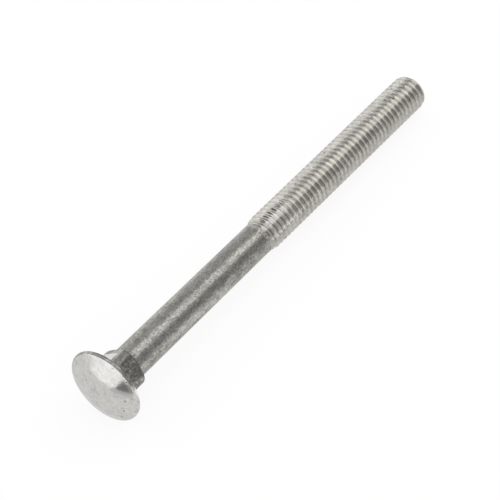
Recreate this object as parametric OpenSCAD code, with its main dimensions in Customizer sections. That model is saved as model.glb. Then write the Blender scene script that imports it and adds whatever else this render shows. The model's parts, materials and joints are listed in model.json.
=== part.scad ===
// Carriage bolt: domed head, square neck and plain shank, forged from one wire, with a rolled thread.
// It lies on a level surface on the edge of its head and the end of its thread.
// The origin is the centre of the head's bearing face, +X runs towards the thread and +Z is up.
// The thread is drawn as the smooth envelope of its crests.

/* [Length] */
// Length from the bearing face to the end of the thread
bolt_length = 78.8; // [60:0.1:120]
// Length of the threaded end, with the run-up from the shank
thread_length = 42; // [18:0.1:50]

/* [Thread] */
// Diameter over the crests of the thread
thread_d = 5.9; // [5.75:0.05:6.1]
// Distance from one crest of the thread to the next
thread_pitch = 1; // [0.75:0.25:1.25]
// Pitches over which the shank rises to the thread
run_up_pitches = 2; // [1:0.25:3]
// Pitches over which the end of the thread rounds off
tip_pitches = 1.25; // [0.5:0.25:3]
// Diameter of the flat end of the bolt
tip_d = 4.7; // [4:0.1:5.4]

/* [Shank] */
// Diameter of the shank next to the square neck
shank_d = 5.35; // [5.2:0.05:5.6]
// Diameter of the shank where the thread starts
shank_end_d = 5.2; // [5:0.05:5.5]

/* [Square neck] */
// Width of the neck across its flats
neck_w = 5.9; // [5.7:0.05:6.5]
// Length of the neck under the head, up to its shoulder
neck_length = 4.1; // [2:0.1:8]
// Radius of the rounding along the neck's four corners
neck_corner = 1.4; // [0.8:0.1:1.8]
// Length of the rounded shoulder that brings the corners down to the shank
shoulder_length = 0.5; // [0.3:0.1:3]
// Turn of the neck about the bolt from one corner straight up, in degrees
neck_turn = 6.7; // [0:0.1:90]

/* [Head] */
// Diameter of the head
head_d = 12.15; // [10:0.05:16]
// Height of the whole head over its bearing face
head_height = 2.3; // [2:0.05:4.5]
// Height of the straight side of the rim
rim_height = 0.25; // [0.2:0.05:1]
// Radius of the rounding between the rim and the dome
rim_round = 0.45; // [0.1:0.05:0.8]
// Radius of the rounding between the rim and the bearing face
face_round = 0.15; // [0.05:0.05:0.25]

/* [Hidden] */

$fn = 96;
arc_steps = 12;

// How far the shoulder's curve starts outside the neck's corners and ends inside the shank
shoulder_overlap = 0.1;

thread_start = bolt_length - thread_length;
run_up = run_up_pitches * thread_pitch;
tip_length = tip_pitches * thread_pitch;

// Distance from the axis to the top of a rounded corner of the neck
corner_reach = neck_w / sqrt(2) - (sqrt(2) - 1) * neck_corner;

// The dome is the part of a sphere that runs into the rim's rounding without an edge
round_centre_r = head_d / 2 - rim_round;
dome_rise = head_height - rim_height;
dome_radius = (pow(dome_rise, 2) + pow(round_centre_r, 2) - pow(rim_round, 2)) / (2 * (dome_rise - rim_round));
dome_edge_angle = asin(round_centre_r / (dome_radius - rim_round));

// Fall of the axis from the head's rim to the last full crest, both on the surface
rest_tilt = atan((head_d - thread_d) / 2 / (bolt_length - tip_length + face_round));

// Points on a quarter of an ellipse or less, between two angles
function arc(centre, radii, from, to) =
    [for (i = [0 : arc_steps])
        let (a = from + (to - from) * i / arc_steps)
        [centre[0] + radii[0] * cos(a), centre[1] + radii[1] * sin(a)]];

// Outline of half of the head, from the top of the dome to the bearing face
function head_outline() = concat(
    arc([0, dome_radius - head_height], [dome_radius, dome_radius], -90, dome_edge_angle - 90),
    arc([round_centre_r, -rim_height], [rim_round, rim_round], dome_edge_angle - 90, 0),
    arc([head_d / 2 - face_round, -face_round], [face_round, face_round], 0, 90),
    [[0, 0]]);

// Outline of the square neck's section, with its four rounded corners
function neck_outline() =
    let (c = neck_w / 2 - neck_corner)
    [for (q = [0 : 3])
        let (a = 90 * q + 45)
        each arc([c * sqrt(2) * cos(a), c * sqrt(2) * sin(a)], [neck_corner, neck_corner], a - 45, a + 45)];

// Outline that trims the neck's corners down to the shank along the shoulder
function shoulder_outline() = concat(
    [[0, -rim_height], [corner_reach + shoulder_overlap, -rim_height]],
    arc([shank_d / 2 - shoulder_overlap, neck_length],
        [corner_reach - shank_d / 2 + 2 * shoulder_overlap, shoulder_length], 0, 90),
    [[0, neck_length + shoulder_length]]);

// Outline of half of the rounded end of the thread
function tip_outline() = concat(
    [[0, bolt_length - tip_length]],
    arc([tip_d / 2, bolt_length - tip_length], [(thread_d - tip_d) / 2, tip_length], 0, 90),
    [[0, bolt_length]]);

module head() {
    rotate_extrude()
        polygon(head_outline());
}

module square_neck() {
    rotate([0, 0, neck_turn - 45])
        intersection() {
            translate([0, 0, -rim_height])
                linear_extrude(bolt_length)
                    polygon(neck_outline());
            rotate_extrude()
                polygon(shoulder_outline());
        }
}

module shank() {
    translate([0, 0, -rim_height])
        cylinder(h = rim_height + thread_start, d1 = shank_d, d2 = shank_end_d);
}

module threaded_end() {
    translate([0, 0, thread_start])
        cylinder(h = run_up, d1 = shank_end_d, d2 = thread_d);
    translate([0, 0, thread_start + run_up])
        cylinder(h = thread_length - run_up - tip_length, d = thread_d);
    rotate_extrude()
        polygon(tip_outline());
}

module bolt() {
    color("silver")
        rotate([0, 90 + rest_tilt, 0]) {
            head();
            square_neck();
            shank();
            threaded_end();
        }
}

bolt();
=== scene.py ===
"""A zinc-plated carriage bolt: its forged blank, its rolled thread, its finish and a plain studio."""

import json
import math

import bmesh
import bpy
from bpy.props import FloatProperty, FloatVectorProperty, IntProperty, PointerProperty
from mathutils import Matrix, Vector


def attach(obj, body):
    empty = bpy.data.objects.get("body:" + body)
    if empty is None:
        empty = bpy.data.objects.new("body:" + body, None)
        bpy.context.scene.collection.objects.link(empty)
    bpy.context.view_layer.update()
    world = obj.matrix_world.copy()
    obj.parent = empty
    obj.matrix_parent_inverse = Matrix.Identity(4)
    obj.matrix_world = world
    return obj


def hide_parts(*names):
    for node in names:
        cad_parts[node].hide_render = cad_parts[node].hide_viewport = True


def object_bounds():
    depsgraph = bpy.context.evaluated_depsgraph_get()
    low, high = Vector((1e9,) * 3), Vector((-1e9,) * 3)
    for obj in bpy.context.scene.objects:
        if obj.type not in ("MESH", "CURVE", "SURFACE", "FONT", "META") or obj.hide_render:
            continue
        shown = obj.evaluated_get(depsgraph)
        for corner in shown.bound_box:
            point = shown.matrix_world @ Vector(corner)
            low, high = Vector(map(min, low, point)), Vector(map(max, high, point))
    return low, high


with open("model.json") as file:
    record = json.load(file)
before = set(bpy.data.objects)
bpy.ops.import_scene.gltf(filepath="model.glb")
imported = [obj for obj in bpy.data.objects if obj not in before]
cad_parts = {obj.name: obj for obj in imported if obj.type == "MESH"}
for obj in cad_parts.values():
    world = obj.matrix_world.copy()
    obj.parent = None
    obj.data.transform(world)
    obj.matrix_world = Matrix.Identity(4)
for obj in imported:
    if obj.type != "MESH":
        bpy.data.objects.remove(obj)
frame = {"nodes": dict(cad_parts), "record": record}
CAD_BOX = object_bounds()
FLOOR_HEIGHT = CAD_BOX[0][2]

bl_info = {
    "name": "Carriage Bolt",
    "version": (1, 0, 0),
    "blender": (4, 5, 0),
    "location": "3D View > Sidebar > Bolt",
    "description": "Models a carriage bolt with a rolled thread and a worn zinc finish",
    "category": "Object",
}

MM = 0.001
NODE = "bolt"
MOUNTS = {mount["name"]: mount for mount in frame["record"]["mounts"]}
SEAT = Vector(MOUNTS["head_seat"]["pos_m"])
AXIS = Vector(MOUNTS["thread"]["axis"]).normalized()
CREST_R = MOUNTS["thread"]["dims"]["r_mm"]
FULL_CREST_LENGTH = MOUNTS["thread"]["dims"]["length_mm"]
FULL_CREST_MIDDLE = (Vector(MOUNTS["thread"]["pos_m"]) - SEAT).dot(AXIS) / MM


def bolt_space():
    """Matrix from bolt space, in millimetres with +Z along the bolt, to the frame."""
    across = Vector((0, 1, 0))
    down = across.cross(AXIS)
    turn = Matrix((down, across, AXIS)).transposed().to_4x4()
    return Matrix.Translation(SEAT) @ turn @ Matrix.Scale(MM, 4)


def node_reach(gap):
    """Lowest height, highest height and widest radius that stay a gap inside the CAD node, in millimetres."""
    to_bolt = bolt_space().inverted()
    points = [to_bolt @ v.co for v in frame["nodes"][NODE].data.vertices]
    heights = [p.z for p in points]
    return min(heights) + gap, max(heights) - gap, max(math.hypot(p.x, p.y) for p in points) - gap


HEAD_TOP, BOLT_LENGTH, HEAD_R = node_reach(gap=0.01)


class BlankSizes(bpy.types.PropertyGroup):
    """Sizes of the forged blank: head, square neck and shank."""

    rim_height: FloatProperty(
        name="Rim height", description="Height of the straight side of the head's rim, in millimetres",
        default=0.25, min=0.2, max=1.0)
    rim_round: FloatProperty(
        name="Rim rounding", description="Radius between the rim and the dome, in millimetres",
        default=0.45, min=0.1, max=0.8)
    face_round: FloatProperty(
        name="Face rounding", description="Radius between the rim and the bearing face, in millimetres",
        default=0.15, min=0.05, max=0.25)
    neck_w: FloatProperty(
        name="Neck width", description="Width of the square neck across its flats, in millimetres",
        default=5.9, min=5.7, max=6.5)
    neck_length: FloatProperty(
        name="Neck length", description="Length of the square neck up to its shoulder, in millimetres",
        default=4.1, min=2.0, max=8.0)
    neck_corner: FloatProperty(
        name="Neck corner", description="Radius along the four corners of the neck, in millimetres",
        default=1.4, min=0.8, max=1.8)
    neck_root: FloatProperty(
        name="Neck root", description="Radius between the neck and the bearing face, in millimetres",
        default=0.15, min=0.05, max=0.4)
    shoulder_length: FloatProperty(
        name="Shoulder length",
        description="Length over which the corners run down to the shank, in millimetres",
        default=0.5, min=0.3, max=3.0)
    neck_turn: FloatProperty(
        name="Neck turn", description="Turn of the neck from one corner straight up",
        default=math.radians(6.7), subtype="ANGLE")
    shank_d: FloatProperty(
        name="Shank diameter", description="Diameter of the shank next to the neck, in millimetres",
        default=5.35, min=5.2, max=5.6)
    shank_end_d: FloatProperty(
        name="Shank end diameter", description="Diameter of the shank where the thread starts, in millimetres",
        default=5.2, min=5.0, max=5.5)
    sides: IntProperty(
        name="Steps round", description="Steps in one turn about the bolt's axis",
        default=112, min=48, max=240)


class ThreadSizes(bpy.types.PropertyGroup):
    """Sizes of the rolled thread."""

    pitch: FloatProperty(
        name="Pitch", description="Distance from one crest to the next, in millimetres",
        default=1.0, min=0.75, max=1.25)
    depth: FloatProperty(
        name="Depth", description="Depth of the full thread, in pitches", default=0.6, min=0.3, max=0.65)
    crest_land: FloatProperty(
        name="Crest land", description="Flat width of a crest, in pitches", default=0.1, min=0.05, max=0.3)
    softness: FloatProperty(
        name="Softness", description="Rounding of crests and roots, in millimetres",
        default=0.2, min=0.01, max=0.4)
    run_up: FloatProperty(
        name="Run-up", description="Pitches over which the shank rises to the thread",
        default=2.0, min=1.0, max=3.0)
    shallow_start: FloatProperty(
        name="Shallow start", description="Share of the full depth in the first groove",
        default=0.6, min=0.0, max=1.0, subtype="FACTOR")
    shallow_turns: FloatProperty(
        name="Shallow turns", description="Pitches over which the grooves reach full depth",
        default=7.0, min=0.0, max=12.0)
    tip_pitches: FloatProperty(
        name="Tip rounding", description="Pitches over which the end of the thread rounds off",
        default=1.25, min=0.5, max=3.0)
    tip_d: FloatProperty(
        name="Tip diameter", description="Diameter of the flat end of the bolt, in millimetres",
        default=4.7, min=4.0, max=5.4)
    points: IntProperty(
        name="Points", description="Points in the outline of one turn of the thread",
        default=16, min=6, max=24)


class ZincColours(bpy.types.PropertyGroup):
    """Colours of the zinc coat."""

    bright: FloatVectorProperty(
        name="Bright zinc", description="Clean zinc", subtype="COLOR",
        default=(0.9, 0.888, 0.86), min=0, max=1)
    dull: FloatVectorProperty(
        name="Dull zinc", description="Greyed zinc in blotches and flecks", subtype="COLOR",
        default=(0.33, 0.33, 0.32), min=0, max=1)
    # Dark zinc colours dirt and pits, and also the painted shade in the roots of the thread.
    dark: FloatVectorProperty(
        name="Dark zinc", description="Stained zinc in pits and grooves", subtype="COLOR",
        default=(0.10, 0.097, 0.088), min=0, max=1)
    warm: FloatVectorProperty(
        name="Warm flecks", description="Tint of the warm flecks", subtype="COLOR",
        default=(1.0, 0.96, 0.88), min=0, max=1)
    cool: FloatVectorProperty(
        name="Cool flecks", description="Tint of the cool flecks", subtype="COLOR",
        default=(0.97, 0.97, 0.94), min=0, max=1)


class StudioSizes(bpy.types.PropertyGroup):
    """Places of the camera and the studio round the bolt."""

    camera_place: FloatVectorProperty(
        name="Camera place", description="Camera from the centre of the bearing face, in millimetres",
        default=(-179.41, -155.51, 286.85))
    view_turn: FloatProperty(
        name="View turn", description="Angle of the view from +X towards +Y",
        default=math.radians(35.98), subtype="ANGLE")
    view_fall: FloatProperty(
        name="View fall", description="Angle by which the view falls below level",
        default=math.radians(47.52), subtype="ANGLE")
    lens: FloatProperty(
        name="Lens", description="Focal length on a 36 mm sensor, in millimetres", default=187.3)
    floor_size: FloatProperty(name="Floor size", description="Width of the floor", default=3.0, unit="LENGTH")
    softbox_place: FloatVectorProperty(
        name="Softbox place", description="Centre of the softbox, which faces straight down",
        default=(0.45, -0.11, 0.58), subtype="TRANSLATION", unit="LENGTH")
    softbox_width: FloatProperty(
        name="Softbox width", description="Size of the softbox along the bolt", default=0.7, unit="LENGTH")
    softbox_depth: FloatProperty(
        name="Softbox depth", description="Size of the softbox across the bolt", default=0.42, unit="LENGTH")
    softbox_power: FloatProperty(
        name="Softbox power", description="Power of the softbox", default=1.0, unit="POWER")


def clamp01(value):
    """The value, kept between 0 and 1."""
    return min(max(value, 0.0), 1.0)


def ease(value):
    """A smooth step from 0 to 1."""
    t = clamp01(value)
    return t * t * (3 - 2 * t)


def soft_min(a, b, width):
    """The smaller of two sizes, rounded over a width where they cross."""
    h = clamp01(0.5 + 0.5 * (b - a) / width)
    return b * (1 - h) + a * h - width * h * (1 - h)


def soft_max(a, b, width):
    """The larger of two sizes, rounded over a width where they cross."""
    return -soft_min(-a, -b, width)


def arc(centre, radii, start, end, steps):
    """Points (radius, height) on an arc of an ellipse, both ends included, with angles in degrees."""
    points = []
    for i in range(steps + 1):
        angle = math.radians(start + (end - start) * i / steps)
        points.append((centre[0] + radii[0] * math.cos(angle), centre[1] + radii[1] * math.sin(angle)))
    return points


def stretch(start, end, steps):
    """Points between two points, the last one included."""
    return [(start[0] + (end[0] - start[0]) * i / steps, start[1] + (end[1] - start[1]) * i / steps)
            for i in range(1, steps + 1)]


class Blank:
    """The forged blank's form, worked out from its sizes and the CAD node."""

    SHOULDER_OVERLAP = 0.1       # how far the shoulder starts outside the corners and ends inside the shank
    SHOULDER_EDGE = 0.25         # rounding between the neck's corners and the shoulder
    SHOULDER_FOOT = 0.18         # rounding between the shoulder and the shank
    FOOT_LENGTH = 0.3            # length of shank past the shoulder that the foot's rounding may reach

    def __init__(self, sizes, thread):
        self.sizes = sizes
        self.corner_reach = sizes.neck_w / math.sqrt(2) - (math.sqrt(2) - 1) * sizes.neck_corner
        # The rim's finish meets the dome's three quarters of the way up the rim's rounding
        self.rim_end = -(sizes.rim_height + 0.75 * sizes.rim_round)
        self.neck_end = sizes.neck_length + sizes.shoulder_length
        self.round_start = self.neck_end + self.FOOT_LENGTH
        self.thread_start = FULL_CREST_MIDDLE - FULL_CREST_LENGTH / 2 - thread.run_up * thread.pitch

    def head_outline(self):
        """Outline of the head from the top of its dome to the edge of its bearing face."""
        s = self.sizes
        centre_r = HEAD_R - s.rim_round
        rise = -HEAD_TOP - s.rim_height
        dome_r = (rise ** 2 + centre_r ** 2 - s.rim_round ** 2) / (2 * (rise - s.rim_round))
        edge = math.degrees(math.asin(centre_r / (dome_r - s.rim_round)))
        dome = arc((0, HEAD_TOP + dome_r), (dome_r, dome_r), -90, edge - 90, 40)
        rim = arc((centre_r, -s.rim_height), (s.rim_round, s.rim_round), edge - 90, 0, 8)
        side = stretch(rim[-1], (HEAD_R, -s.face_round), 3)
        foot = arc((HEAD_R - s.face_round, -s.face_round), (s.face_round, s.face_round), 0, 90, 5)
        return dome + rim[1:] + side + foot[1:]

    def shank_radius(self, height):
        """Radius of the plain shank at a height."""
        s = self.sizes
        share = clamp01(height / self.thread_start)
        return (s.shank_d + (s.shank_end_d - s.shank_d) * share) / 2

    def square_radius(self, angle):
        """Distance from the axis to the neck's rounded square section, by the angle about the axis."""
        s = self.sizes
        fold = abs((angle - s.neck_turn) % (math.pi / 2) - math.pi / 4)
        half, inset = s.neck_w / 2, s.neck_w / 2 - s.neck_corner
        if half * math.tan(fold) <= inset:
            return half / math.cos(fold)
        along = inset * (math.cos(fold) + math.sin(fold))
        return along + math.sqrt(along ** 2 - 2 * inset ** 2 + s.neck_corner ** 2)

    def neck_radius(self, height, angle):
        """Distance from the axis to the surface of the neck and its shoulder."""
        s = self.sizes
        shank = self.shank_radius(height)
        square = self.square_radius(angle)
        rise = clamp01((height - s.neck_length) / s.shoulder_length)
        inner, outer = shank - self.SHOULDER_OVERLAP, self.corner_reach + self.SHOULDER_OVERLAP
        shoulder = inner + (outer - inner) * math.sqrt(1 - rise ** 2)
        return soft_max(shank, soft_min(square, shoulder, self.SHOULDER_EDGE), self.SHOULDER_FOOT)


class Thread:
    """The rolled thread's form, worked out from its sizes and the CAD node."""

    def __init__(self, sizes, blank):
        self.sizes = sizes
        self.start = blank.thread_start
        self.blank_r = blank.sizes.shank_end_d / 2
        self.tip_start = BOLT_LENGTH - sizes.tip_pitches * sizes.pitch

    def profile(self, off):
        """Height lost at a distance from the middle of a crest, on flanks at 60 degrees with soft corners."""
        s = self.sizes
        flank = (off - s.crest_land * s.pitch / 2) * math.tan(math.radians(60))
        return soft_max(0.0, soft_min(flank, s.depth * s.pitch, s.softness), s.softness)

    def groove(self, phase):
        """Depth below the crest at a phase of one turn, from 0 to 1 with the crest at one half."""
        return self.profile(abs(phase - 0.5) * self.sizes.pitch) - self.profile(0.0)

    def envelope(self, height):
        """Radius over the crests at a height."""
        s = self.sizes
        rise = ease((height - self.start) / (s.run_up * s.pitch))
        radius = self.blank_r + (CREST_R - self.blank_r) * rise
        fall = clamp01((height - self.tip_start) / (BOLT_LENGTH - self.tip_start))
        return radius - (CREST_R - s.tip_d / 2) * (1 - math.sqrt(1 - fall ** 2))

    def radius(self, height, depth):
        """Radius of the thread at a height, where the full thread has a given depth below its crest."""
        s = self.sizes
        full = self.start + s.run_up * s.pitch
        share = ease((height - self.start) / s.pitch) * (
            s.shallow_start + (1 - s.shallow_start) * ease((height - full) / (s.shallow_turns * s.pitch)))
        if height < full:
            return self.envelope(height) - depth * share
        return min(CREST_R - depth * share, self.envelope(height))


def set_radius(vert, target):
    """Moves a vertex straight towards or away from the axis, to a radius."""
    share = target / math.hypot(vert.co.x, vert.co.y)
    vert.co.x *= share
    vert.co.y *= share


def spin_outline(bm, outline, steps):
    """Turns an open outline of (radius, height) points once about the axis."""
    chain = [bm.verts.new((r, 0, z)) for r, z in outline]
    edges = [bm.edges.new(pair) for pair in zip(chain, chain[1:])]
    bmesh.ops.spin(bm, geom=chain + edges, cent=(0, 0, 0), axis=(0, 0, 1), angle=2 * math.pi,
                   steps=steps, use_merge=True, use_duplicate=False)
    bmesh.ops.remove_doubles(bm, verts=bm.verts, dist=1e-4)


def blank_mesh(blank):
    """The head, neck and shank as one spun surface, open where the thread starts."""
    s = blank.sizes
    reach = blank.corner_reach
    face_ring = reach + 4 * s.neck_root      # outside it the bearing face stays round
    round_start, thread_start = blank.round_start, blank.thread_start
    outline = blank.head_outline()
    outline += stretch(outline[-1], (face_ring, 0), 5)
    outline += arc((reach + s.neck_root, s.neck_root), (s.neck_root, s.neck_root), 270, 180, 5)
    outline += stretch(outline[-1], (reach, s.neck_length), 14)
    outline += stretch(outline[-1], (reach, round_start), 30)
    outline += stretch((blank.shank_radius(round_start), round_start),
                       (blank.shank_radius(thread_start), thread_start), 40)
    bm = bmesh.new()
    spin_outline(bm, outline, s.sides)
    for v in bm.verts:
        radius = math.hypot(v.co.x, v.co.y)
        if not -1e-4 < v.co.z < round_start + 1e-3 or radius > face_ring - 1e-3:
            continue
        neck = blank.neck_radius(v.co.z, math.atan2(v.co.y, v.co.x))
        set_radius(v, neck + max(radius - reach, 0.0))
    return bm


def open_loop(bm, height, reach=0.02):
    """Edges of the open rims within reach of a height."""
    return [e for e in bm.edges if e.is_boundary and all(abs(v.co.z - height) < reach for v in e.verts)]


def thread_mesh(thread, steps):
    """The thread as one helical sweep of a turn's outline, cut square at both ends."""
    s = thread.sizes
    bm = bmesh.new()
    turns = math.ceil((BOLT_LENGTH - thread.start) / s.pitch) + 2
    first = thread.start - 1.5 * s.pitch     # low enough that the cut at the start leaves no gap
    phases = [i / s.points for i in range(s.points + 1)]
    chain = [bm.verts.new((CREST_R - thread.groove(p), 0, first + p * s.pitch)) for p in phases]
    edges = [bm.edges.new(pair) for pair in zip(chain, chain[1:])]
    bmesh.ops.spin(bm, geom=chain + edges, cent=(0, 0, 0), axis=(0, 0, 1), angle=2 * math.pi,
                   dvec=(0, 0, s.pitch / steps), steps=steps, use_merge=False, use_duplicate=False)
    turn = bm.verts[:] + bm.edges[:] + bm.faces[:]
    for i in range(1, turns):
        made = bmesh.ops.duplicate(bm, geom=turn)["geom"]
        verts = [g for g in made if isinstance(g, bmesh.types.BMVert)]
        bmesh.ops.translate(bm, vec=(0, 0, i * s.pitch), verts=verts)
    bmesh.ops.remove_doubles(bm, verts=bm.verts, dist=s.pitch / 200)
    for height, clear_inner in ((thread.start, True), (BOLT_LENGTH, False)):
        bmesh.ops.bisect_plane(bm, geom=bm.verts[:] + bm.edges[:] + bm.faces[:], dist=1e-5,
                               plane_co=(0, 0, height), plane_no=(0, 0, 1),
                               clear_inner=clear_inner, clear_outer=not clear_inner)
    for v in bm.verts:
        set_radius(v, thread.radius(v.co.z, CREST_R - math.hypot(v.co.x, v.co.y)))
    return bm


def join_meshes(meshes):
    """One bmesh that holds several."""
    whole = bmesh.new()
    for part in meshes:
        held = bpy.data.meshes.new("held")
        part.to_mesh(held)
        part.free()
        whole.from_mesh(held)
        bpy.data.meshes.remove(held)
    return whole


def close_tip(bm, thread):
    """Closes the end of the bolt with flat rings and a face in their middle."""
    rim = open_loop(bm, BOLT_LENGTH)
    for share in (0.9, 0.6, 0.3):
        made = bmesh.ops.extrude_edge_only(bm, edges=rim)["geom"]
        verts = [g for g in made if isinstance(g, bmesh.types.BMVert)]
        rim = [g for g in made if isinstance(g, bmesh.types.BMEdge) and g.is_boundary]
        for v in verts:
            set_radius(v, share * thread.sizes.tip_d / 2)
    bmesh.ops.contextual_create(bm, geom=rim)


def link_object(name, data):
    """A new object in the scene."""
    made = bpy.data.objects.new(name, data)
    bpy.context.scene.collection.objects.link(made)
    return made


def mesh_object(bm, name, materials):
    """A smooth-shaded object at the origin from a bmesh in bolt space."""
    bmesh.ops.transform(bm, matrix=bolt_space(), verts=bm.verts)
    bmesh.ops.recalc_face_normals(bm, faces=bm.faces)
    mesh = bpy.data.meshes.new(name)
    bm.to_mesh(mesh)
    bm.free()
    for material in materials:
        mesh.materials.append(material)
    mesh.polygons.foreach_set("use_smooth", [True] * len(mesh.polygons))
    return link_object(name, mesh)


def add(tree, kind, inputs=None, **settings):
    """A new node with its settings, and its inputs as values or as other nodes' outputs."""
    made = tree.nodes.new(kind)
    for name, value in settings.items():
        setattr(made, name, value)
    for name, value in (inputs or {}).items():
        if isinstance(value, bpy.types.NodeSocket):
            tree.links.new(value, made.inputs[name])
        else:
            made.inputs[name].default_value = value
    return made


def maths(tree, operation, a, b=0.0, clamp=False):
    """The result of a sum on two values."""
    return add(tree, "ShaderNodeMath", {0: a, 1: b}, operation=operation, use_clamp=clamp).outputs[0]


def ramp(tree, value, low, high):
    """A value eased from 0 at the low mark to 1 at the high mark."""
    return add(tree, "ShaderNodeMapRange", {"Value": value, "From Min": low, "From Max": high},
               interpolation_type="SMOOTHSTEP").outputs["Result"]


def blend(tree, factor, a, b, mode="MIX"):
    """Two colours mixed by a factor."""
    mix = add(tree, "ShaderNodeMix", data_type="RGBA", blend_type=mode)
    for socket, value in zip((mix.inputs[0], mix.inputs[6], mix.inputs[7]), (factor, a, b)):
        if isinstance(value, bpy.types.NodeSocket):
            tree.links.new(value, socket)
        else:
            socket.default_value = value
    return mix.outputs[2]


def group_tree(name, inputs, outputs):
    """A new node group with named float inputs and outputs, and its two end nodes."""
    tree = bpy.data.node_groups.new(name, "ShaderNodeTree")
    for label, value, low, high in inputs:
        socket = tree.interface.new_socket(label, in_out="INPUT", socket_type="NodeSocketFloat")
        socket.default_value, socket.min_value, socket.max_value = value, low, high
    for label in outputs:
        tree.interface.new_socket(label, in_out="OUTPUT", socket_type="NodeSocketFloat")
    return tree, tree.nodes.new("NodeGroupInput").outputs, tree.nodes.new("NodeGroupOutput").inputs


def effect(tree, group, **values):
    """The outputs of a node group placed in a material with some of its values set."""
    return add(tree, "ShaderNodeGroup", values, node_tree=group).outputs


def bolt_place(tree, squeeze=1.0):
    """The place on the bolt in millimetres from the bearing face, with the length along it squeezed."""
    place = add(tree, "ShaderNodeTexCoord").outputs["Object"]
    turn = bolt_space().to_euler()
    return add(tree, "ShaderNodeMapping", {
        "Vector": place, "Location": SEAT, "Rotation": turn, "Scale": (MM, MM, MM / squeeze)},
        vector_type="TEXTURE").outputs["Vector"]


def frost_group():
    """Fine frosty flecks that zinc leaves on rough steel."""
    tree, given, result = group_tree(
        "zinc_frost", (("Grain", 0.3, 0.05, 2.0), ("Depth", 0.005, 0.0, 0.05)), ("Fleck", "Hue", "Height"))
    place = bolt_place(tree, 0.55)
    fineness = maths(tree, "DIVIDE", 1.0, given["Grain"])
    cloud = add(tree, "ShaderNodeTexNoise", {
        "Vector": place, "Scale": fineness, "Detail": 3.0, "Roughness": 0.6})
    cells = add(tree, "ShaderNodeTexVoronoi", {"Vector": place, "Scale": fineness, "Randomness": 1.0})
    spark = add(tree, "ShaderNodeSeparateColor", {"Color": cells.outputs["Color"]})
    rough = maths(tree, "ADD", maths(tree, "MULTIPLY", cloud.outputs["Fac"], 0.65),
                  maths(tree, "MULTIPLY", spark.outputs["Red"], 0.35))
    tree.links.new(ramp(tree, rough, 0.3, 0.7), result["Fleck"])
    tree.links.new(ramp(tree, spark.outputs["Green"], 0.2, 0.8), result["Hue"])
    tree.links.new(maths(tree, "MULTIPLY", cloud.outputs["Fac"], given["Depth"]), result["Height"])
    return tree


def blotch_group():
    """Soft grey clouds in the coat."""
    tree, given, result = group_tree(
        "grey_blotches", (("Size", 1.5, 0.2, 10.0), ("Cover", 0.4, 0.0, 1.0), ("Edge", 0.15, 0.01, 0.5)),
        ("Mask",))
    place = bolt_place(tree, 0.6)
    cloud = add(tree, "ShaderNodeTexNoise", {
        "Vector": place, "Scale": maths(tree, "DIVIDE", 1.0, given["Size"]), "Detail": 4.0, "Roughness": 0.55,
        "Distortion": 0.6})
    mark = maths(tree, "SUBTRACT", 0.75, maths(tree, "MULTIPLY", given["Cover"], 0.5))
    tree.links.new(ramp(tree, cloud.outputs["Fac"], maths(tree, "SUBTRACT", mark, given["Edge"]),
                        maths(tree, "ADD", mark, given["Edge"])), result["Mask"])
    return tree


def spot_group():
    """Scattered spots of uneven size, from small pits to wide smudges."""
    tree, given, result = group_tree(
        "scattered_spots", (("Spacing", 1.2, 0.2, 10.0), ("Width", 0.26, 0.02, 4.0), ("Share", 0.4, 0.0, 1.0)),
        ("Mask",))
    place = bolt_place(tree)
    wobble = add(tree, "ShaderNodeTexNoise", {"Vector": place, "Scale": 3.0, "Detail": 2.0})
    bent = add(tree, "ShaderNodeVectorMath", {
        0: wobble.outputs["Color"], 1: (0.25, 0.25, 0.25)}, operation="MULTIPLY")
    moved = add(tree, "ShaderNodeVectorMath", {0: place, 1: bent.outputs[0]}, operation="ADD")
    cells = add(tree, "ShaderNodeTexVoronoi", {
        "Vector": moved.outputs[0], "Scale": maths(tree, "DIVIDE", 1.0, given["Spacing"]), "Randomness": 1.0})
    pick = add(tree, "ShaderNodeSeparateColor", {"Color": cells.outputs["Color"]})
    wide = maths(tree, "MULTIPLY", maths(tree, "DIVIDE", given["Width"], given["Spacing"]),
                 maths(tree, "ADD", maths(tree, "MULTIPLY", pick.outputs["Green"], 0.5), 0.25))
    near = ramp(tree, maths(tree, "DIVIDE", cells.outputs["Distance"], wide), 1.3, 0.5)
    chosen = maths(tree, "LESS_THAN", pick.outputs["Red"], given["Share"])
    tree.links.new(maths(tree, "MULTIPLY", near, chosen), result["Mask"])
    return tree


def groove_group():
    """How deep a place lies in the thread, from 0 on the crests to 1 in the roots."""
    tree, given, result = group_tree("groove_depth", (("Depth", 0.6, 0.1, 2.0),), ("Mask",))
    across = add(tree, "ShaderNodeVectorMath", {0: bolt_place(tree), 1: (1.0, 1.0, 0.0)}, operation="MULTIPLY")
    reach = add(tree, "ShaderNodeVectorMath", {0: across.outputs[0]}, operation="LENGTH").outputs["Value"]
    low = maths(tree, "SUBTRACT", CREST_R, given["Depth"])
    tree.links.new(ramp(tree, reach, CREST_R, low), result["Mask"])
    return tree


class Look:
    """Finish of one stretch of the bolt."""

    def __init__(self, grey, flecks, grain, relief, blotch, size, cover, pits, dirt, tint, rough, root_shade=0.0):
        self.grey = grey          # dull zinc mixed in everywhere, 0 to 1
        self.flecks = flecks      # strength of the frosty flecks
        self.grain = grain        # size of a fleck, in millimetres
        self.relief = relief      # height of the frost, in millimetres
        self.blotch = blotch      # strength of the grey blotches
        self.size = size          # size of a blotch, in millimetres
        self.cover = cover        # share of the surface under blotches
        self.pits = pits          # share of the places that have a pit
        self.dirt = dirt          # strength of the dark dirt
        self.tint = tint          # strength of the warm and cool flecks
        self.rough = rough        # roughness of clean and of dull zinc
        # painted shade: how much the colour darkens towards the roots of the thread
        self.root_shade = root_shade        # darkening towards the roots of the thread


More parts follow.
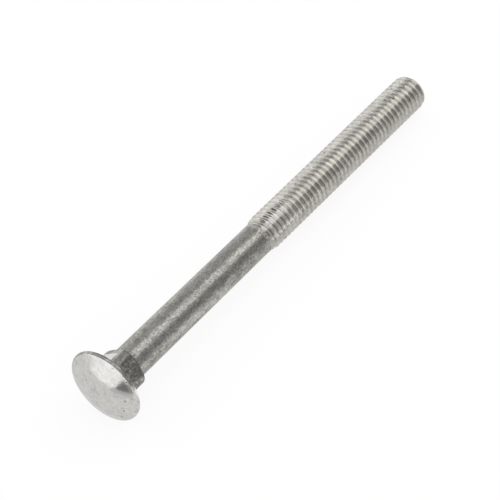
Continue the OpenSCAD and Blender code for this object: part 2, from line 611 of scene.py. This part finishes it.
LOOKS = {
    # grey, flecks, grain, relief, blotch, size, cover, pits, dirt, tint, rough, root_shade
    "zinc_dome": Look(0.0, 0.18, 0.25, 0.0007, 0.3, 1.4, 0.35, 0.5, 0.0, 0.05, (0.12, 0.25)),
    # zinc_rim is a greyer copy of the dome's finish: painted shade on the rim's top and far side, and a
    # painted lighter band on the neck's upper corner
    "zinc_rim": Look(0.36, 0.35, 0.3, 0.003, 0.6, 1.2, 0.5, 0.4, 0.2, 0.5, (0.24, 0.38)),
    "zinc_neck": Look(0.2, 0.7, 0.35, 0.03, 0.6, 0.8, 0.5, 0.7, 0.6, 0.6, (0.25, 0.45)),
    "zinc_shank": Look(0.36, 0.52, 0.16, 0.004, 0.3, 1.1, 0.4, 0.35, 0.15, 0.7, (0.28, 0.42)),
    "zinc_thread": Look(0.08, 0.15, 0.22, 0.002, 0.3, 1.5, 0.4, 0.35, 0.15, 0.7, (0.14, 0.3), 0.3),
}


BLOTCH_EDGE = 0.2            # softness of the grey blotches
DIRT_EDGE = 0.08             # softness of the dirt
DIRT_SIZE = 0.4              # size of a patch of dirt, as a share of a blotch
DIRT_COVER = 0.6             # share of the surface under dirt
PIT_SPACING = 0.8            # distance between the places for pits, in millimetres
PIT_DARK = 0.65              # darkening in a pit
PIT_DEPTH = 0.01             # depth of a pit, in millimetres


def zinc_material(name, look, colours, groups, thread_depth):
    """The zinc coat on one stretch of the bolt."""
    material = bpy.data.materials.new(name)
    material.use_nodes = True
    tree = material.node_tree
    bsdf = tree.nodes["Principled BSDF"]
    bright, dull, dark, warm, cool = ((*c, 1) for c in (
        colours.bright, colours.dull, colours.dark, colours.warm, colours.cool))
    frost = effect(tree, groups["frost"], Grain=look.grain, Depth=look.relief)
    blotch = effect(tree, groups["blotch"], Size=look.size, Cover=look.cover, Edge=BLOTCH_EDGE)
    dirt = effect(tree, groups["blotch"], Size=DIRT_SIZE * look.size, Cover=DIRT_COVER, Edge=DIRT_EDGE)
    pits = effect(tree, groups["spots"], Spacing=PIT_SPACING, Share=look.pits)
    fleck = maths(tree, "MULTIPLY", frost["Fleck"], look.flecks)
    cloud = maths(tree, "MULTIPLY", blotch["Mask"], look.blotch)
    greyed = maths(tree, "ADD", maths(tree, "ADD", fleck, cloud), look.grey, clamp=True)
    colour = blend(tree, greyed, bright, dull)
    colour = blend(tree, look.tint, colour, blend(tree, frost["Hue"], warm, cool), "MULTIPLY")
    colour = blend(tree, maths(tree, "MULTIPLY", dirt["Mask"], look.dirt), colour, dark)
    colour = blend(tree, maths(tree, "MULTIPLY", pits["Mask"], PIT_DARK), colour, dark)
    # Painted shade: the thread's colour darkens towards its roots, where shade falls.
    if look.root_shade:
        groove = effect(tree, groups["groove"], Depth=thread_depth)
        colour = blend(tree, maths(tree, "MULTIPLY", groove["Mask"], look.root_shade), colour, dark)
    tree.links.new(colour, bsdf.inputs["Base Color"])
    clean, worn = look.rough
    rough = maths(tree, "ADD", maths(tree, "MULTIPLY", greyed, worn - clean), clean)
    tree.links.new(rough, bsdf.inputs["Roughness"])
    height = maths(tree, "SUBTRACT", frost["Height"], maths(tree, "MULTIPLY", pits["Mask"], PIT_DEPTH))
    bump = add(tree, "ShaderNodeBump", {"Strength": 1.0, "Distance": MM, "Height": height})
    tree.links.new(bump.outputs["Normal"], bsdf.inputs["Normal"])
    bsdf.inputs["Metallic"].default_value = 1.0
    return material


RIM_SHADE_START = -55              # sides of the rim below this one keep the dome's finish; the sides above are painted darker with the rim's finish
NECK_LIGHTER_SIDES = (-5, 66)        # sides of the neck painted lighter with the rim's finish
NECK_HIGHLIGHT_FLAT = (12, 66)        # sides of the neck painted as a highlight with the dome's finish, from the head to near the shoulder
FLAT_MARGIN = 0.6            # distance from the painted highlight on the top flat to the shoulder, in millimetres


def finish_at(place, blank, thread):
    """Name of the finish at a place in bolt space, by its height and by its side in degrees from the top."""
    side = math.degrees(math.atan2(place.y, -place.x))
    if place.z > thread.start:
        return "zinc_thread"
    if place.z > blank.neck_end:
        return "zinc_shank"
    if place.z > 0:
        # Painted highlight: the neck's top flat takes the dome's bright finish and its upper corner the rim's
        # lighter one, standing in for the bright reflection there; the other sides keep the darker neck
        # finish.
        if NECK_HIGHLIGHT_FLAT[0] < side < NECK_HIGHLIGHT_FLAT[1] and place.z < blank.sizes.neck_length - FLAT_MARGIN:
            return "zinc_dome"
        return "zinc_rim" if NECK_LIGHTER_SIDES[0] < side < NECK_LIGHTER_SIDES[1] else "zinc_neck"
    # Painted shade: the rim's top and far side take the greyer rim finish, standing in for the dark reflection
    # there.
    return "zinc_rim" if place.z > blank.rim_end and side > RIM_SHADE_START else "zinc_dome"


class BOLT_OT_body(bpy.types.Operator):
    """Model the one-piece bolt with its head, square neck, shank and thread"""

    bl_idname = "bolt.body"
    bl_label = "Bolt Body"

    def execute(self, context):
        scene = context.scene
        blank = Blank(scene.bolt_blank, scene.bolt_thread)
        thread = Thread(scene.bolt_thread, blank)
        bm = join_meshes([blank_mesh(blank), thread_mesh(thread, scene.bolt_blank.sides)])
        bmesh.ops.bridge_loops(bm, edges=open_loop(bm, thread.start))
        close_tip(bm, thread)
        groups = {
            "frost": frost_group(), "blotch": blotch_group(), "spots": spot_group(), "groove": groove_group()}
        depth = scene.bolt_thread.depth * scene.bolt_thread.pitch
        finishes = list(LOOKS)
        for face in bm.faces:
            face.material_index = finishes.index(finish_at(face.calc_center_median(), blank, thread))
        piece = mesh_object(bm, "bolt_body", [
            zinc_material(name, look, scene.bolt_zinc, groups, depth) for name, look in LOOKS.items()])
        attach(piece, "root")
        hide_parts(NODE)
        return {"FINISHED"}


def stage_panel(name, centre, normal, size, material, roll=0):
    """A flat panel that is part of the stage, turned about its normal by an angle in degrees."""
    bm = bmesh.new()
    bmesh.ops.create_grid(bm, x_segments=1, y_segments=1, size=0.5)
    bmesh.ops.scale(bm, vec=(size[0], size[1], 1), verts=bm.verts)
    turn = Vector(normal).to_track_quat("Z", "Y").to_matrix().to_4x4()
    spin = Matrix.Rotation(math.radians(roll), 4, "Z")
    bmesh.ops.transform(bm, matrix=Matrix.Translation(centre) @ turn @ spin, verts=bm.verts)
    mesh = bpy.data.meshes.new(name)
    bm.to_mesh(mesh)
    bm.free()
    mesh.materials.append(material)
    panel = link_object(name, mesh)
    return panel


FLOOR_SEEN = 0.88            # share of white that the camera sees in the floor
FLOOR_MIRRORED = 0.3         # share of white that the bolt reflects from the floor


def floor_material():
    """Pale matt floor that cameras and mirrors see nearer to white, with a softer shadow."""
    material = bpy.data.materials.new("floor")
    material.use_nodes = True
    tree = material.node_tree
    bsdf = tree.nodes["Principled BSDF"]
    bsdf.inputs["Base Color"].default_value = (0.9, 0.9, 0.9, 1)
    bsdf.inputs["Roughness"].default_value = 1.0
    bsdf.inputs["Specular IOR Level"].default_value = 0.0
    white = add(tree, "ShaderNodeEmission", {"Color": (1, 1, 1, 1)})
    ray = add(tree, "ShaderNodeLightPath").outputs
    seen = maths(tree, "ADD", maths(tree, "MULTIPLY", ray["Is Camera Ray"], FLOOR_SEEN),
                 maths(tree, "MULTIPLY", ray["Is Glossy Ray"], FLOOR_MIRRORED))
    mixed = add(tree, "ShaderNodeMixShader", {0: seen, 1: bsdf.outputs["BSDF"], 2: white.outputs["Emission"]})
    tree.links.new(mixed.outputs["Shader"], tree.nodes["Material Output"].inputs["Surface"])
    return material


def card_material(name, grey):
    """A studio card that glows evenly in one grey."""
    material = bpy.data.materials.new(name)
    material.use_nodes = True
    tree = material.node_tree
    tree.nodes.remove(tree.nodes["Principled BSDF"])
    glow = tree.nodes.new("ShaderNodeEmission")
    glow.inputs["Color"].default_value = (grey, grey, grey, 1)
    tree.links.new(glow.outputs["Emission"], tree.nodes["Material Output"].inputs["Surface"])
    return material


def studio_card(name, centre, normal, size, grey, roll=0):
    """A studio card that only reflections show, so that it neither hides the bolt nor dims the floor."""
    card = stage_panel(name, centre, normal, size, card_material(name, grey), roll)
    card.visible_camera = False
    card.visible_diffuse = False
    card.visible_shadow = False
    card.visible_transmission = False


HUNG_CARDS = (
    # name, centre in metres, normal, width and height in metres, grey
    ("near_card", (0.785, -0.45, 0.37), (0, 1, 0), (1.03, 0.74), 0.22),
    ("near_left_card", (-0.39, -0.45, 0.37), (0, 1, 0), (1.32, 0.74), 0.45),
    ("far_card", (0.8, 0.45, 0.30), (0, -1, 0), (1.0, 0.60), 0.43),
    ("far_left_card", (0.2, 0.45, 0.30), (0, -1, 0), (0.2, 0.60), 1.0),
    ("side_card", (-0.509, 0.318, 0.483), (0.848, -0.530, 0), (0.437, 0.366), 0.10),
    ("top_card", (0.7, 0.0, 0.62), (0, 0, -1), (1.2, 0.9), 0.32),
    ("end_card", (1.3, 0.0, 0.30), (-1, 0, 0), (0.9, 0.62), 0.35),
)

FLOOR_CARDS = (
    # name, centre and height over the floor in mm, roll in degrees, width and depth in mm, grey
    # Painted shadow: ground_shade_card and the three shadow cards stand in for the head's shadow on the floor,
    # as reflections show it.
    ("ground_shade_card", (-8, 10, 0.165), 0, (32, 100), 0.67),
    ("left_card", (-108, 119, 0.145), -42, (360, 34), 0.70),
    ("shadow_end_card", (-20.5, -5.5, 0.175), 11, (10, 12), 0.5),
    ("shadow_edge_card", (-66.4, -26.7, 0.195), 22, (100, 12), 0.3),
    ("shadow_card", (-82.4, -17.9, 0.215), 10.8, (120, 10), 0.15),
    ("front_card", (-140, -204, 0.115), 18, (360, 300), 0.67),
    ("front_right_card", (127.5, -105, 0.115), 0, (145, 190), 0.6),
    # Painted shade: the two contact cards stand in for the shaded floor beside the shank, as reflections show
    # it.
    ("contact_shade_card", (57.5, -6, 0.135), 0, (55, 8), 0.7),
    ("contact_shade_edge_card", (57.5, -14.5, 0.125), 0, (55, 9), 0.55),
    ("behind_card", (75, 20, 0.125), 0, (80, 34), 0.7),
)


class BOLT_OT_stage(bpy.types.Operator):
    """Set the floor, the lights, the world and the camera"""

    bl_idname = "bolt.stage"
    bl_label = "Studio"

    def execute(self, context):
        scene = context.scene
        studio = scene.bolt_studio
        middle = SEAT + AXIS * BOLT_LENGTH * MM / 2
        stage_panel("floor", (middle.x, middle.y, FLOOR_HEIGHT), (0, 0, 1),
                    (studio.floor_size, studio.floor_size), floor_material())
        for card in HUNG_CARDS:
            studio_card(*card)
        for name, (x, y, lift), roll, (width, depth), grey in FLOOR_CARDS:
            studio_card(name, (x * MM, y * MM, FLOOR_HEIGHT + lift * MM), (0, 0, 1),
                        (width * MM, depth * MM), grey, roll)
        camera = bpy.data.cameras.new("camera")
        camera.lens = studio.lens
        camera.sensor_width = 36
        camera.clip_start = 0.01
        holder = link_object("camera", camera)
        level = math.cos(studio.view_fall)
        view = Vector((level * math.cos(studio.view_turn), level * math.sin(studio.view_turn),
                       -math.sin(studio.view_fall)))
        holder.location = SEAT + Vector(studio.camera_place) * MM
        holder.rotation_euler = view.to_track_quat("-Z", "Y").to_euler()
        scene.camera = holder
        world = bpy.data.worlds.new("studio")
        world.use_nodes = True
        world.node_tree.nodes["Background"].inputs["Color"].default_value = (1, 1, 1, 1)
        scene.world = world
        lamp = bpy.data.lights.new("softbox", "AREA")
        lamp.shape = "RECTANGLE"
        lamp.size = studio.softbox_width
        lamp.size_y = studio.softbox_depth
        lamp.energy = studio.softbox_power
        light = link_object("softbox", lamp)
        light.location = studio.softbox_place
        scene.view_settings.view_transform = "Standard"
        return {"FINISHED"}


class BOLT_PT_panel(bpy.types.Panel):
    """Lists the pieces of the bolt and its studio"""

    bl_idname = "BOLT_PT_panel"
    bl_label = "Carriage Bolt"
    bl_space_type = "VIEW_3D"
    bl_region_type = "UI"
    bl_category = "Bolt"

    def draw(self, context):
        layout = self.layout
        layout.operator("bolt.body")
        layout.operator("bolt.stage")
        for group in GROUPS:
            box = layout.box()
            sizes = getattr(context.scene, group)
            for name in sizes.__annotations__:
                box.prop(sizes, name)


GROUPS = {
    "bolt_blank": BlankSizes,
    "bolt_thread": ThreadSizes,
    "bolt_zinc": ZincColours,
    "bolt_studio": StudioSizes,
}
CLASSES = (*GROUPS.values(), BOLT_OT_body, BOLT_OT_stage, BOLT_PT_panel)


def register():
    for cls in CLASSES:
        bpy.utils.register_class(cls)
    for name, group in GROUPS.items():
        setattr(bpy.types.Scene, name, PointerProperty(type=group))


def unregister():
    for name in GROUPS:
        delattr(bpy.types.Scene, name)
    for cls in reversed(CLASSES):
        bpy.utils.unregister_class(cls)


def main():
    """Registers the settings and the panel, then builds the bolt and its studio."""
    register()
    bpy.ops.bolt.body()
    bpy.ops.bolt.stage()


if __name__ == "__main__":
    main()
